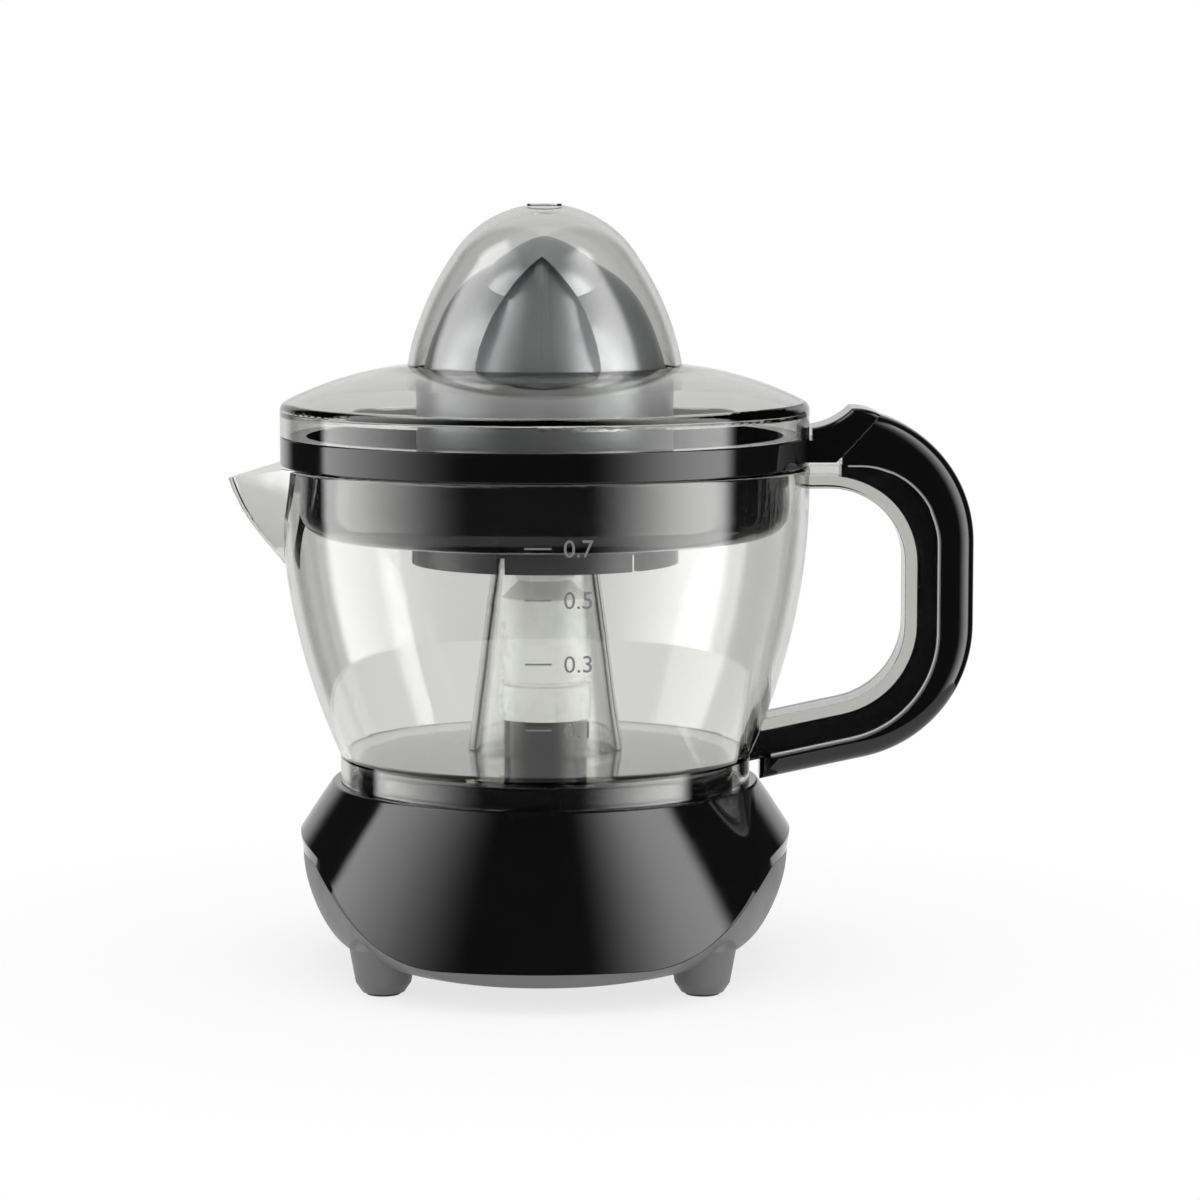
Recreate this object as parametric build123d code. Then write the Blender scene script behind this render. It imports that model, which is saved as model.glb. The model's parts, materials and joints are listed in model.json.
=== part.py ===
from build123d import *
import os
from math import acos, atan, atan2, cos, degrees, hypot, pi, radians, sin, sqrt, tan

# Electric citrus press. Millimetres, +Z up, origin on the table under the spindle axis.
# The front faces -Y, the handle points to +X and the spout to -X.

# General walls and clearances
SHELL = 2.3             # wall of the black upper housing
SEAM = 0.15             # joint gap between fixed shells
REST_GAP = 0.2          # gap between stacked flat seats
RUN_GAP = 0.35          # gap between curved faces that move past each other
SHAFT_FIT = 0.05        # radial running fit of shafts in bushes

# Base: a slightly rounded cone, cut at its sides by a deeper tub
SEAT_Z = 48.9           # deck that carries the jug
SEAT_R = 58.3
SEAT_EDGE = 1.0
CONE_BULGE = 1.0        # how far the cone's flank swells out of straight
APRON_R = 80.7          # greatest radius, at the front and back
TUB_FLOOR_Z = 6.9
TUB_Z = (TUB_FLOOR_Z, 9.0, 13.3, 18.0, 24.0, 34.4)     # heights of the tub's oval sections
TUB_HALF_X = (53.6, 58.1, 61.3, 63.6, 65.6, 67.1)
TUB_HALF_Y = (80.0, 86.5, 90.7, 91.4, 88.6, 78.0)
TUB_WALL = 2.4
SPLIT_Z = 10.5          # joint between the housings at the front and back
SPLIT_CORNER_X = 41.5   # where the joint would turn up if it had no bend
SPLIT_BEND = 38.0
SPLIT_SIDE_Z = 30.6     # joint at the sides
SPLIT_SIDE_BEND = 4.0
LIP_T = 1.6             # lip of the upper housing behind the joint
LIP_DEPTH = 1.0
PLUG_R = 51.5           # raised deck inside the jug's foot ring
PLUG_RISE = 5.1
PLUG_EDGE = 1.5
BOSS_R = 11.4
BOSS_RISE = 12.7

# Feet
FOOT_X = 41.9
FOOT_Y = 53.6
FOOT_TIP_R = 5.6
FOOT_BEVEL_R = 7.3
FOOT_BEVEL_Z = 3.2
FOOT_ROOT_R = 9.0
FOOT_ROOT_Z = 12.6
FOOT_BLEND_R = 5.0
FOOT_BLEND_Z = 18.0     # height at which a foot has merged with the tub
PAD_R = 4.6
PAD_PROUD = 0.7
PAD_DEPTH = 1.6

# Screws
SCREW_R = 1.5
SCREW_HEAD_R = 3.1
SCREW_HEAD = 2.2
SCREW_LENGTH = 12.0
SCREW_CLEAR = 0.2
SCREW_SLOT = 0.8        # width of the cross in a screw head
POST_R = 4.2
HOUSING_POST_X = 42.0
HOUSING_POST_Y = 30.0
HOUSING_BOSS_R = 5.2
HOUSING_BOSS_Z = 12.0   # top of the lower housing's screw bosses

# Cord gland, at the back
GLAND_R = 5.0
GLAND_BORE = 3.3
GLAND_RECESS = 3.0      # blind mouth for the cord
GLAND_Z = 17.5
GLAND_Y = 80.0
GLAND_LENGTH = 12.0
GLAND_FLANGE = 1.6

# Drive train
AXLE_R = 4.0
AXLE_FOOT_Z = 16.6
AXLE_CHAMFER = 0.6
AXLE_GRIP = 30.0        # length of axle inside the drive spindle
PRESS_TRAVEL = 1.5
PLATE_Z = 25.0
PLATE_T = 2.5
PLATE_X0 = -26.0
PLATE_X1 = 32.0
PLATE_Y0 = -27.0
PLATE_Y1 = 51.0
PLATE_CORNER = 6.0
PLATE_POSTS = ((-20.0, -21.0), (20.0, -21.0), (-19.0, 40.0), (26.0, 44.0))
BUSH_R = 7.0
BUSH_FLANGE = 1.2
BUSH_RIM = 2.0          # how far a bush's flange stands out
LOWER_BUSH_R = 6.2
SEAL_R = 8.2
SEAL_T = 2.2
OUTPUT_TEETH = 42
OUTPUT_Z = 32.5
OUTPUT_FACE = 5.0
OUTPUT_MODULE = 1.0
OUTPUT_HUB_R = 8.0
OUTPUT_RIM = 4.0        # from the pitch circle in to the lightening pocket
OUTPUT_WEB = 2.0
IDLER_SMALL_TEETH = 12
IDLER_LARGE_TEETH = 40
MOTOR_TEETH = 10
MOTOR_MODULE = 0.8
IDLER_FACE = 4.0
IDLER_PIN_R = 2.0
IDLER_PIN_PROUD = 1.2
LEVEL_GAP = 1.5         # air between the two gear levels
PRESSURE_ANGLE = 25.0
ADDENDUM = 0.8
DEDENDUM = 1.05
BACKLASH = 0.16
MOTOR_Y = 40.0
ROTOR_R = 8.5
ROTOR_GAP = 0.5
SHAFT_R = 1.5
SHAFT_BOSS = 2.0        # height of the plate's boss around the motor shaft
SHAFT_FOOT_GAP = 0.7
SHAFT_PROUD = 0.5
CORE_Z = 13.6
CORE_T = 8.0
CORE_LEG_X0 = 8.0
CORE_LEG_X1 = 18.0
CORE_Y0 = 32.0
CORE_Y1 = 66.0
CORE_YOKE = 7.5
COIL_Y0 = 48.2
COIL_WIND = 3.0
COIL_EDGE = 2.4
COIL_GAP = 0.2
BRACKET_T = 1.8
BRACKET_Y0 = 31.0
BRACKET_Y1 = 46.0
MOTOR_SCREW_X = 13.0
MOTOR_SCREW_Y = 36.0
MOTOR_POST_R = 3.2
CUP_R = 6.2
CUP_Z = 14.0
CUP_TOP = 21.0
CUP_ARM = 17.0
CUP_ARM_W = 7.0
CUP_ARM_T = 2.0
GUIDE_WALL = 2.0
SPRING_R = 4.5
SPRING_WIRE = 0.35      # radius
SPRING_TURNS = 2.5
SWITCH_W = 18.0
SWITCH_Y0 = -27.0
SWITCH_Y1 = -11.0
SWITCH_TOP = 16.0
SWITCH_FLOOR = 1.0
SWITCH_EDGE = 1.5
PLUNGER_R = 1.5
PLUNGER_Y = -14.0
PLUNGER_GAP = 0.3
PLUNGER_EDGE = 0.6

# Drive spindle inside the jug's column
SKIRT_R = 12.7          # drip skirt over the boss
SKIRT_LAP = 0.5
SKIRT_TOP = 75.5
GROOVE = 0.9
SPINDLE_R = 11.9
SPINDLE_TOP = 104.0
SPINDLE_ROOF = 0.8      # air over the boss when the spindle is pressed down
KEY_FLATS = 14.0        # hexagon that drives the reamer
KEY_TOP = 157.0
KEY_CHAMFER = 1.2

# Jug
JUG_WALL = 2.4
JUG_FOOT_R = 56.1
JUG_FOOT_WALL = 2.6
JUG_FOOT_TOP = 56.4
JUG_FLOOR_Z = 57.8
JUG_FLOOR_T = 2.4
JUG_LOW_R = 56.7
JUG_LOW_Z = 57.5
JUG_MID_R = 66.6
JUG_MID_Z = 86.1
JUG_HIGH_R = 72.0
JUG_HIGH_Z = 123.6
JUG_RIM_R = 72.2
JUG_RIM_Z = 135.5
JUG_RIM_EDGE = 0.9
COLUMN_R = 21.2         # at the jug's floor
COLUMN_TOP_R = 12.8
COLUMN_TOP_Z = 121.0
COLUMN_WALL = 2.0

# Spout: reach, half width and height of its cross sections
SPOUT_REACH = (71.4, 76.2, 82.0, 86.5, 89.0)
SPOUT_HALF = (8.0, 17.0, 24.0, 28.0, 30.0)
SPOUT_Z = (106.0, 112.6, 120.0, 128.0, 136.5)
SPOUT_NOSE = 5.0
SPOUT_ROOT_X = 64.0
SPOUT_ROOT_DEPTH = 12.0
SPOUT_WALL = 2.1
SPOUT_TIP_Z = 130.9
SPOUT_DROOP_X = 70.0    # where the lip starts to fall
SPOUT_OVERRUN = 5.0     # how far the lip's cut runs past the spout

# Handle, drawn from the side
GAP_TOP_Z = 129.2       # finger gap
GAP_RIGHT_X = 97.9
GAP_TOP_FILLET = 20.5
GAP_LOW_FILLET = 22.0
HANDLE_LINE_X = 61.9    # a point of the gap's sloping lower edge
HANDLE_LINE_Z = 66.8
HANDLE_SLOPE = 0.214
HANDLE_ROOT_X = 50.0    # where the side outlines start, inside the jug's foot
CHANNEL_TOP_Z = 135.8   # clear channel, outer edge
CHANNEL_RIGHT_X = 107.3
CHANNEL_TOP_FILLET = 21.7
CHANNEL_LOW_FILLET = 30.0
CHANNEL_DROP = 10.6     # from the gap's lower edge to the channel's
CHANNEL_WEB = 3.3
CHANNEL_WALL = 2.0
CHANNEL_HALF = 8.0
CHANNEL_EDGE = 0.6
CHANNEL_OPEN = 5.0      # how far the channel's slot runs out past its edge
COVER_RIGHT_X = 116.6
COVER_TOP_R = 36.3
COVER_TOP_Z = 114.5     # height of the upper arc's centre
COVER_LOW_R = 37.2
COVER_LOW_Z = 92.0
COVER_END_X = 58.6
COVER_HALF = 10.5
COVER_EDGE = 5.0
COVER_LAP = 2.0         # how far the cover's outline runs in over the channel
TONGUE_FIT = 0.1

# Strainer
RING_R = 72.0
RING_T = 1.9
RING_TOP = 143.5
RING_EDGE = 0.5
BOWL_R = 66.7
BOWL_WALL = 1.8
BOWL_FLOOR_Z = 116.7
BOWL_CORNER = 7.0
SLOT_COUNT = 36
SLOT_W = 1.6
SLOT_R0 = 41.0
SLOT_R1 = 57.0
WINDOW_COUNT = 12
WINDOW_W = 4.0
WINDOW_R0 = 23.0
WINDOW_R1 = 33.0
HUB_R = 17.2
HUB_WALL = 1.9
HUB_TOP = 124.0
HUB_LOW = 111.0
HUB_LIP = 1.2
KEY_GAP = 1.2
SEAM_LOW = (80.4, 137.6)    # seam between the tab and the handle cover, x and z
SEAM_HIGH_X = 90.9
TAB_PEAK = (83.1, 151.1)
TAB_HALF = 10.5
TAB_EDGE = 2.0
TAB_CREST = (0.6, 0.4)      # bulge of the tab's back
TAB_DIP = (1.0, 0.6)        # sag of the tab's front
TAB_ROOT_Z = 145.8

# Pulp ring
PULP_R = 36.4
PULP_WALL = 1.8
PULP_LOW = 108.8
PULP_NOTCHES = 6
PULP_NOTCH_W = 2.2
PULP_NOTCH_H = 4.5
PULP_NOTCH_START = 12.0     # angle of the first notch

# Reamer: two side lobes, a round cap, and a ribbed panel let in at the front and back
CONE_BASE_Z = 160.0
CONE_SKIRT_R = 35.0
CONE_LOW_Z = 119.4
CONE_WALL = 2.4
CONE_STEP = 1.5         # ledge between the lobes and the skirt
CONE_TURN = -2.8        # how far the panels are turned from straight ahead
LOBE_Z = (CONE_BASE_Z, 168.0, 175.0, 182.0, 190.2)     # heights of the lobes' oval sections
LOBE_HALF_X = (33.2, 31.1, 28.3, 24.1, 12.4)
LOBE_HALF_Y = (33.2, 30.4, 24.9, 16.6, 6.5)
CAP_TOP_Z = 197.3
CAP_SHOULDER = (10.1, 192.7)    # points of the cap's side, radius and height
CAP_WAIST = (14.4, 189.2)
CAP_FOOT = (18.9, 180.7)
CAP_LOW_Z = 174.0
PANEL_HALF = 16.7       # pointed arch of a panel, seen from the front
PANEL_BEND = (12.8, 175.4)
PANEL_TOP_Z = 191.7
PANEL_FLOOR_R = 32.0    # round floor of a panel at its foot and top
PANEL_FLOOR_BEND = (21.8, 175.4)
PANEL_FLOOR_TOP_R = 8.8
RIB_LOW_HALF = 3.9      # flat rib up the middle of a panel
RIB_TOP_HALF = 1.6
RIB_PROUD = 1.7
RIB_TOP_Z = 189.0
CREST_LOW_HALF = 0.9    # narrow crest on the rib
CREST_TOP_HALF = 0.5
CREST_PROUD = 2.5
HOLLOW_TOP_R = 16.5
SOCKET_WALL = 2.4
SOCKET_LOW = 126.5
SOCKET_ROOF = 20.0      # from the key's top to the roof of the hollow

# Lid
LID_WALL = 2.0
LID_TOP = 206.0
LID_NOSE_R = 29.7
LID_NOSE_END = 25.5     # radius at which the nose arc meets the flank
LID_DOME_R = 37.4       # dome where it meets the brim
LID_DOME_Z = 162.3
LID_FLANK_R = 75.0
LID_BRIM_MID = (56.5, 158.4)
LID_BRIM_Z = 152.0
LID_RIM_R = 72.0
LID_EDGE = 2.6
LID_COLLAR_Z = 154.6
LID_COLLAR_WALL = 1.5
LID_COLLAR_GAP = 0.9
LID_BRIM_FALL = 1.05    # upright thickness of the sloping brim, in wall thicknesses
LID_NUB_R = 4.8
LID_NUB = 0.5

# Heights that follow from the sizes above
plug_z = SEAT_Z + PLUG_RISE
boss_z = plug_z + BOSS_RISE
jug_z = SEAT_Z + REST_GAP
ring_low = JUG_RIM_Z + REST_GAP
lid_z = RING_TOP + REST_GAP
floor_top = TUB_FLOOR_Z + TUB_WALL
plate_top = PLATE_Z + PLATE_T
core_top = CORE_Z + CORE_T
idler_large_z = OUTPUT_Z + OUTPUT_FACE + LEVEL_GAP
idler_small_z = OUTPUT_Z - PRESS_TRAVEL - LEVEL_GAP
bowl_floor_top = BOWL_FLOOR_Z + BOWL_WALL


def rod(radius, z0, z1, x=0, y=0):
    """Upright cylinder between two heights."""
    return Pos(x, y, (z0 + z1) / 2) * Cylinder(radius, z1 - z0)


def tube(radius, bore, z0, z1, x=0, y=0):
    """Upright ring between two heights."""
    return rod(radius, z0, z1, x, y) - rod(bore, z0 - 1, z1 + 1, x, y)


def block(x0, x1, y0, y1, z0, z1):
    """Box between two corners."""
    return Pos((x0 + x1) / 2, (y0 + y1) / 2, (z0 + z1) / 2) * Box(x1 - x0, y1 - y0, z1 - z0)


def round_corner(sketch, point, radius):
    """Round the corner of a flat outline that is nearest to a point."""
    return fillet(sketch.vertices().sort_by_distance((point[0], point[1], 0))[:1], radius)


def turned(sketch):
    """Solid of revolution about the spindle axis, drawn as radius and height."""
    return revolve(Plane.XZ * sketch, Axis.Z)


def turned_points(*points):
    """Solid of revolution from a straight-sided outline."""
    return turned(make_face(Polyline(*points, close=True)))


def side_slab(sketch, half):
    """Side outline, drawn as x and z, thickened evenly to both sides."""
    return extrude(Plane.XZ * sketch, amount=half, both=True)


def around(shape, count, start=0.0):
    """Copies of a shape turned evenly about the spindle axis."""
    return [Rot(0, 0, start + 360 * i / count) * shape for i in range(count)]


# Base shells

def cone(inset, edge=0.0):
    """The base's cone, pulled in by an even wall."""
    slope = atan((APRON_R - SEAT_R) / (SEAT_Z - SPLIT_Z))
    side = inset / cos(slope)
    seat = (SEAT_R - side, SEAT_Z)
    hem = (APRON_R - side, SPLIT_Z)
    middle_x = (seat[0] + hem[0]) / 2 + CONE_BULGE * cos(slope)
    middle_z = (SEAT_Z + SPLIT_Z) / 2 + CONE_BULGE * sin(slope)
    flank = ThreePointArc(seat, (middle_x, middle_z), hem)
    outline = make_face([flank, Polyline(hem, (hem[0], 0), (0, 0), (0, SEAT_Z), seat)])
    if edge:
        outline = round_corner(outline, seat, edge)
    return turned(outline) & rod(APRON_R, 0, SEAT_Z - inset)


def tub(inset, floor_z):
    """The base's oval tub, filled down to a floor and pulled in by a wall."""
    ovals = []
    for z, half_x, half_y in zip(TUB_Z, TUB_HALF_X, TUB_HALF_Y):
        ovals.append(Pos(0, 0, z) * Ellipse(half_x - inset, half_y - inset))
    top = extrude(ovals[-1], amount=SEAT_Z - TUB_Z[-1])
    return (loft(ovals) + top) & rod(APRON_R - inset, floor_z, SEAT_Z)


def above_split(gap):
    """Everything above the joint line of the two housings, lowered by a gap."""
    low = SPLIT_Z - gap
    high = SPLIT_SIDE_Z - gap
    turn = SPLIT_CORNER_X + SPLIT_SIDE_Z - SPLIT_Z
    far = 2 * APRON_R
    outline = make_face(Polyline(
        (-far, high), (-turn, high), (-SPLIT_CORNER_X, low), (SPLIT_CORNER_X, low), (turn, high), (far, high),
        (far, LID_TOP), (-far, LID_TOP), close=True))
    for side in (-1, 1):
        outline = round_corner(outline, (side * SPLIT_CORNER_X, low), SPLIT_BEND)
        outline = round_corner(outline, (side * turn, high), SPLIT_SIDE_BEND)
    return side_slab(outline, far)


def upper_housing():
    shell = cone(0, SEAT_EDGE) & tub(0, TUB_FLOOR_Z) & above_split(0)
    shell = shell - (cone(SHELL) & tub(SHELL, TUB_FLOOR_Z)) + joint_lip()
    plug = make_face(Polyline((0, SEAT_Z - SHELL), (PLUG_R, SEAT_Z - SHELL), (PLUG_R, plug_z), (0, plug_z),
                              close=True))
    shell = shell + turned(round_corner(plug, (PLUG_R, plug_z), PLUG_EDGE))
    shell = shell - rod(PLUG_R - SHELL, SEAT_Z - 2 * SHELL, plug_z - SHELL)
    boss_low = plug_z - SHELL - BUSH_FLANGE
    shell = shell + rod(BOSS_R, boss_low, boss_z)
    ceiling = cone(SHELL / 2) + rod(PLUG_R - SHELL, SEAT_Z - 2 * SHELL, plug_z - SHELL / 2)
    posts = [rod(POST_R, plate_top, plug_z, x, y) for x, y in PLATE_POSTS]
    posts += [rod(POST_R, HOUSING_BOSS_Z, plug_z, x, y) for x, y in housing_posts()]
    shell = shell + [post & ceiling for post in posts]
    bores = [rod(SCREW_R + SEAM, plate_top - 1, plate_top + SCREW_LENGTH, x, y) for x, y in PLATE_POSTS]
    bores += [rod(SCREW_R + SEAM, HOUSING_BOSS_Z - 1, HOUSING_BOSS_Z + SCREW_LENGTH, x, y)
              for x, y in housing_posts()]
    bores.append(rod(BUSH_R, 0, bush_top()))
    bores.append(rod(SEAL_R, boss_z - SEAL_T, boss_z + 1))
    bores.append(rod(AXLE_R + RUN_GAP, 0, boss_z + 1))
    bores.append(Pos(0, GLAND_Y, GLAND_Z) * Rot(90, 0, 0) * Cylinder(GLAND_R, 4 * GLAND_LENGTH))
    return shell - bores


def joint_lip():
    """Lip that laps behind the lower housing's wall, and the thick rim that carries it."""
    outside = TUB_WALL + SEAM
    lip = tub(outside, TUB_FLOOR_Z) & above_split(LIP_DEPTH)
    rim = tub(SHELL / 2, TUB_FLOOR_Z) & above_split(0)
    ring = (lip + rim - tub(outside + LIP_T, TUB_FLOOR_Z)) & cone(SHELL / 2)
    return ring - [rod(FOOT_ROOT_R + SEAM, 0, SEAT_Z, x, y) for x, y in feet()]


def housing_posts():
    return [(x, y) for x in (-HOUSING_POST_X, HOUSING_POST_X) for y in (-HOUSING_POST_Y, HOUSING_POST_Y)]


def feet():
    return [(x, y) for x in (-FOOT_X, FOOT_X) for y in (-FOOT_Y, FOOT_Y)]


def bush_top():
    return boss_z - SEAL_T - BUSH_FLANGE


def lower_housing():
    shell = tub(0, TUB_FLOOR_Z) - tub(TUB_WALL, floor_top)
    foot = turned_points((0, PAD_PROUD), (FOOT_TIP_R, PAD_PROUD), (FOOT_BEVEL_R, FOOT_BEVEL_Z),
                         (FOOT_ROOT_R, FOOT_ROOT_Z), (FOOT_BLEND_R, FOOT_BLEND_Z), (0, FOOT_BLEND_Z))
    shell = shell + [Pos(x, y, 0) * foot for x, y in feet()] - above_split(SEAM)
    boss_top = HOUSING_BOSS_Z - SEAM
    shell = shell + [rod(HOUSING_BOSS_R, TUB_FLOOR_Z, boss_top, x, y) for x, y in housing_posts()]
    guide_bore = CUP_R + RUN_GAP
    shell = shell + tube(guide_bore + GUIDE_WALL, guide_bore, TUB_FLOOR_Z, CUP_Z + PRESS_TRAVEL)
    cuts = [rod(PAD_R, 0, PAD_PROUD + PAD_DEPTH, x, y) for x, y in feet()]
    head_top = TUB_FLOOR_Z + SCREW_HEAD + SEAM
    for x, y in housing_posts():
        cuts.append(rod(SCREW_HEAD_R + SCREW_CLEAR, 0, head_top, x, y))
        cuts.append(rod(SCREW_R + SCREW_CLEAR, 0, HOUSING_BOSS_Z + 1, x, y))
    return shell - cuts


def rubber_feet():
    return [rod(PAD_R - SEAM, 0, PAD_PROUD + PAD_DEPTH, x, y) for x, y in feet()]


def screw(x, y, seat):
    """Screw put in from below, with its head under the seat."""
    head = rod(SCREW_HEAD_R, seat - SCREW_HEAD, seat, x, y)
    shank = rod(SCREW_R, seat, seat + SCREW_LENGTH, x, y)
    slot = Pos(x, y, seat - SCREW_HEAD) * Box(SCREW_HEAD_R, SCREW_SLOT, SCREW_HEAD)
    cross = Pos(x, y, seat - SCREW_HEAD) * Box(SCREW_SLOT, SCREW_HEAD_R, SCREW_HEAD)
    return head + shank - slot - cross


def housing_screws():
    return [screw(x, y, TUB_FLOOR_Z + SCREW_HEAD + SEAM) for x, y in housing_posts()]


def plate_screws():
    return [screw(x, y, PLATE_Z) for x, y in PLATE_POSTS]


def cord_gland():
    half = GLAND_LENGTH / 2
    flange = Pos(0, 0, -half) * Cylinder(GLAND_R + GLAND_FLANGE, GLAND_FLANGE)
    body = Cylinder(GLAND_R - SEAM, GLAND_LENGTH) + flange
    body = body - Pos(0, 0, half) * Cylinder(GLAND_BORE, 2 * GLAND_RECESS)
    return Pos(0, GLAND_Y - half, GLAND_Z) * Rot(-90, 0, 0) * body


# Gear train

def involute(angle):
    return tan(angle) - angle


def gear(teeth, module, face, phase):
    """Involute spur gear on the Z axis, with one tooth centred at the phase angle in radians."""
    pressure = radians(PRESSURE_ANGLE)
    pitch = module * teeth / 2
    base = pitch * cos(pressure)
    tip = pitch + ADDENDUM * module
    root = pitch - DEDENDUM * module
    half = pi / (2 * teeth) - BACKLASH * module / (2 * pitch) + involute(pressure)
    start = max(base, root)
    flank = [(root, half)] if root < base else []
    for i in range(4):
        r = start + (tip - start) * i / 3
        flank.append((r, half - involute(acos(base / r))))
    points = []
    for tooth in range(teeth):
        middle = phase + 2 * pi * tooth / teeth
        points += [(r * cos(middle - a), r * sin(middle - a)) for r, a in flank]
        points += [(r * cos(middle + a), r * sin(middle + a)) for r, a in reversed(flank)]
    return extrude(make_face(Polyline(*points, close=True)), amount=face)


def meshed_phase(angle, phase, teeth, mate_teeth):
    """Phase of a mating gear that lies in the given direction, so that teeth meet gaps."""
    return angle + pi - ((phase - angle) * teeth + pi) / mate_teeth


output_pitch = OUTPUT_MODULE * OUTPUT_TEETH / 2
small_pitch = OUTPUT_MODULE * IDLER_SMALL_TEETH / 2
large_pitch = MOTOR_MODULE * IDLER_LARGE_TEETH / 2
motor_pitch = MOTOR_MODULE * MOTOR_TEETH / 2
first_distance = output_pitch + small_pitch
second_distance = large_pitch + motor_pitch
idler_y = (first_distance**2 - second_distance**2 + MOTOR_Y**2) / (2 * MOTOR_Y)
idler_x = sqrt(first_distance**2 - idler_y**2)
idler_angle = atan2(idler_y, idler_x)
motor_angle = atan2(MOTOR_Y - idler_y, -idler_x)
small_phase = meshed_phase(idler_angle, 0.0, OUTPUT_TEETH, IDLER_SMALL_TEETH)
motor_phase = meshed_phase(motor_angle, 0.0, IDLER_LARGE_TEETH, MOTOR_TEETH)


def output_gear():
    wheel = Pos(0, 0, OUTPUT_Z) * gear(OUTPUT_TEETH, OUTPUT_MODULE, OUTPUT_FACE, 0.0)
    pocket = tube(output_pitch - OUTPUT_RIM, OUTPUT_HUB_R, OUTPUT_Z + OUTPUT_WEB, OUTPUT_Z + OUTPUT_FACE + 1)
    hub = rod(OUTPUT_HUB_R, OUTPUT_Z, OUTPUT_Z + OUTPUT_FACE + LEVEL_GAP)
    return wheel - pocket + hub - rod(AXLE_R, 0, SEAT_Z)


def idler_gear():
    small = gear(IDLER_SMALL_TEETH, OUTPUT_MODULE, idler_large_z - idler_small_z, small_phase)
    large = gear(IDLER_LARGE_TEETH, MOTOR_MODULE, IDLER_FACE, 0.0)
    bore = Cylinder(IDLER_PIN_R + SHAFT_FIT, 4 * SEAT_Z)
    both = Pos(0, 0, idler_small_z) * small + Pos(0, 0, idler_large_z) * large
    return Pos(idler_x, idler_y, 0) * (both - bore)


def motor_pinion():
    pinion = Pos(0, 0, idler_large_z) * gear(MOTOR_TEETH, MOTOR_MODULE, IDLER_FACE, motor_phase)
    return Pos(0, MOTOR_Y, 0) * (pinion - Cylinder(SHAFT_R, 4 * SEAT_Z))


def idler_pin():
    top = idler_large_z + IDLER_FACE
    pin = rod(IDLER_PIN_R, PLATE_Z, top + IDLER_PIN_PROUD, idler_x, idler_y)
    return pin + rod(2 * IDLER_PIN_R, plate_top, idler_small_z - SEAM, idler_x, idler_y)


def gear_plate():
    width = PLATE_X1 - PLATE_X0
    depth = PLATE_Y1 - PLATE_Y0
    outline = Pos((PLATE_X0 + PLATE_X1) / 2, (PLATE_Y0 + PLATE_Y1) / 2) * RectangleRounded(
        width, depth, PLATE_CORNER)
    plate = Pos(0, 0, PLATE_Z) * extrude(outline, amount=PLATE_T)
    plate = plate + [rod(MOTOR_POST_R, core_top, PLATE_Z, x, MOTOR_SCREW_Y) for x in motor_screw_xs()]
    plate = plate + rod(POST_R, PLATE_Z, plate_top + SHAFT_BOSS, 0, MOTOR_Y)
    cuts = [rod(SCREW_R + SCREW_CLEAR, 0, SEAT_Z, x, y) for x, y in PLATE_POSTS]
    cuts += [rod(SCREW_R + SEAM, 0, SEAT_Z, x, MOTOR_SCREW_Y) for x in motor_screw_xs()]
    cuts.append(rod(LOWER_BUSH_R, 0, SEAT_Z))
    cuts.append(rod(IDLER_PIN_R, 0, SEAT_Z, idler_x, idler_y))
    cuts.append(rod(SHAFT_R + SHAFT_FIT, 0, SEAT_Z, 0, MOTOR_Y))
    return plate - cuts


def motor_screw_xs():
    return (-MOTOR_SCREW_X, MOTOR_SCREW_X)


def motor_core():
    core = block(-CORE_LEG_X1, CORE_LEG_X1, CORE_Y0, CORE_Y1, CORE_Z, core_top)
    core = core - block(-CORE_LEG_X0, CORE_LEG_X0, CORE_Y0 - 1, CORE_Y1 - CORE_YOKE, CORE_Z - 1, core_top + 1)
    cuts = [rod(ROTOR_R + ROTOR_GAP, 0, SEAT_Z, 0, MOTOR_Y)]
    cuts += [rod(SCREW_R + SCREW_CLEAR, 0, SEAT_Z, x, MOTOR_SCREW_Y) for x in motor_screw_xs()]
    return core - cuts


def motor_coils():
    coils = []
    for side in (-1, 1):
        x0 = CORE_LEG_X0 - COIL_GAP
        x1 = CORE_LEG_X1 + COIL_GAP
        y1 = CORE_Y1 - CORE_YOKE - COIL_GAP
        outer = block(x0 - COIL_WIND, x1 + COIL_WIND, COIL_Y0, y1, CORE_Z - COIL_WIND, core_top + COIL_WIND)
        outer = fillet(outer.edges().filter_by(Axis.Y), COIL_EDGE)
        bore = block(x0, x1, COIL_Y0 - 1, y1 + 1, CORE_Z - COIL_GAP, core_top + COIL_GAP)
        coil = outer - bore
        coils.append(coil if side > 0 else mirror(coil, Plane.YZ))
    return coils


def motor_bracket():
    strap = block(-CORE_LEG_X1, CORE_LEG_X1, BRACKET_Y0, BRACKET_Y1, CORE_Z - BRACKET_T, CORE_Z)
    cuts = [rod(SHAFT_R + SHAFT_FIT, 0, SEAT_Z, 0, MOTOR_Y)]
    cuts += [rod(SCREW_R + SCREW_CLEAR, 0, SEAT_Z, x, MOTOR_SCREW_Y) for x in motor_screw_xs()]
    return strap - cuts


def motor_screws():
    return [screw(x, MOTOR_SCREW_Y, CORE_Z - BRACKET_T) for x in motor_screw_xs()]


def motor_rotor():
    return tube(ROTOR_R, SHAFT_R, CORE_Z + RUN_GAP, core_top, 0, MOTOR_Y)


def motor_shaft():
    return rod(SHAFT_R, floor_top + SHAFT_FOOT_GAP, idler_large_z + IDLER_FACE + SHAFT_PROUD, 0, MOTOR_Y)


def spindle_bush():
    low = plug_z - SHELL - BUSH_FLANGE
    bush = rod(BUSH_R, low, bush_top()) + rod(BUSH_R + BUSH_RIM, low - BUSH_FLANGE, low)
    return bush - rod(AXLE_R + SHAFT_FIT, 0, boss_z)


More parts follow.
